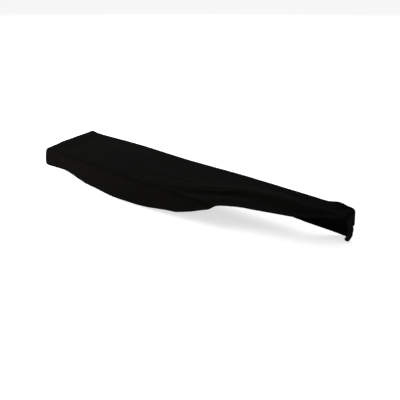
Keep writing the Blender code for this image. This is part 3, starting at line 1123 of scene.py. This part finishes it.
def area_light(name, place, target, size, power):
    """A soft oblong light that points at its target."""
    light = bpy.data.lights.new(name, "AREA")
    light.shape = "RECTANGLE"
    light.size, light.size_y = size
    light.energy = power
    lamp = bpy.data.objects.new(name, light)
    lamp.location = place
    lamp.rotation_euler = (Vector(target) - Vector(place)).to_track_quat("-Z", "Y").to_euler()
    bpy.context.scene.collection.objects.link(lamp)


def floor_material(colour, glow):
    """A plain pale floor, lit a little from within."""
    material = bpy.data.materials.new("pale_floor")
    material.use_nodes = True
    w = Wiring(material.node_tree)
    shader = material.node_tree.nodes["Principled BSDF"]
    place = w.node("ShaderNodeTexCoord").outputs["Object"]
    tone = w.maths("MULTIPLY_ADD", w.noise(place, FLOOR_MOTTLING), *FLOOR_TONE)
    w.feed(shader.inputs["Base Color"], w.tinted(colour, tone))
    shader.inputs["Roughness"].default_value = FLOOR_ROUGHNESS
    shader.inputs["Specular IOR Level"].default_value = FLOOR_SPECULAR
    shader.inputs["Emission Color"].default_value = (1.0, 1.0, 1.0, 1.0)
    shader.inputs["Emission Strength"].default_value = glow
    return material


class DUSTCOVER_OT_stage(bpy.types.Operator):
    """Builds the floor, the lights and the camera"""

    bl_idname = "dust_cover.stage"
    bl_label = "Build Stage"

    def execute(self, context):
        settings = context.scene.dust_cover_stage
        scene = context.scene
        low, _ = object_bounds()
        deselect_all()
        bpy.ops.mesh.primitive_plane_add(size=FLOOR_SIZE, location=(0.0, 0.0, 0.0))
        floor = context.active_object
        floor.name = "floor"
        floor.data.transform(Matrix.Translation((0.0, 0.0, low.z - settings.floor_gap)))
        floor.data.materials.append(floor_material(settings.floor_colour, settings.floor_glow))
        floor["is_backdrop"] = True

        world = bpy.data.worlds.new("surround")
        world.use_nodes = True
        back = world.node_tree.nodes["Background"]
        back.inputs["Color"].default_value = (1.0, 1.0, 1.0, 1.0)
        back.inputs["Strength"].default_value = settings.surround
        scene.world = world
        for name, place, target, size in LIGHTS:
            area_light(name, place, target, size, getattr(settings, name))

        camera = bpy.data.cameras.new("camera")
        camera.lens = settings.lens
        camera.sensor_width = SENSOR_WIDTH
        camera.clip_start, camera.clip_end = CLIP_START, CLIP_END
        eye = bpy.data.objects.new("camera", camera)
        level = math.cos(CAMERA_TILT)
        sideways, backward = math.sin(CAMERA_TURN) * level, -math.cos(CAMERA_TURN) * level
        back_way = Vector((sideways, backward, math.sin(CAMERA_TILT)))
        eye.location = CAMERA_TARGET + back_way * CAMERA_DISTANCE
        eye.rotation_euler = (-back_way).to_track_quat("-Z", "Y").to_euler()
        scene.collection.objects.link(eye)
        scene.camera = eye
        scene.view_settings.view_transform = "Standard"
        return {"FINISHED"}


COVER_ROWS = ("thickness", "hem_thickness", "column_step", "rows", "colour", "knit_pitch")
STAGE_ROWS = ("floor_colour", "floor_glow", "floor_gap", "surround", "key", "over", "fill", "lens")


class DUSTCOVER_PT_panel(bpy.types.Panel):
    """Lists the cover's sizes and what builds it"""

    bl_label = "Fitted Dust Cover"
    bl_idname = "DUSTCOVER_PT_panel"
    bl_space_type = "VIEW_3D"
    bl_region_type = "UI"
    bl_category = "Dust Cover"

    def draw(self, context):
        layout = self.layout
        for settings, names, operator in (
            (context.scene.dust_cover, COVER_ROWS, "dust_cover.cover"),
            (context.scene.dust_cover_stage, STAGE_ROWS, "dust_cover.stage"),
        ):
            for name in names:
                layout.prop(settings, name)
            layout.operator(operator)
            layout.separator()


CLASSES = (
    CoverSettings,
    StageSettings,
    DUSTCOVER_OT_cover,
    DUSTCOVER_OT_stage,
    DUSTCOVER_PT_panel,
)


def register():
    """Adds the cover's classes and settings."""
    for made in CLASSES:
        bpy.utils.register_class(made)
    bpy.types.Scene.dust_cover = PointerProperty(type=CoverSettings)
    bpy.types.Scene.dust_cover_stage = PointerProperty(type=StageSettings)


def unregister():
    """Takes the cover's classes and settings away again."""
    del bpy.types.Scene.dust_cover_stage
    del bpy.types.Scene.dust_cover
    for made in reversed(CLASSES):
        bpy.utils.unregister_class(made)


def main():
    """Builds the cover and its stage."""
    register()
    bpy.ops.dust_cover.cover()
    bpy.ops.dust_cover.stage()


if __name__ == "__main__":
    main()
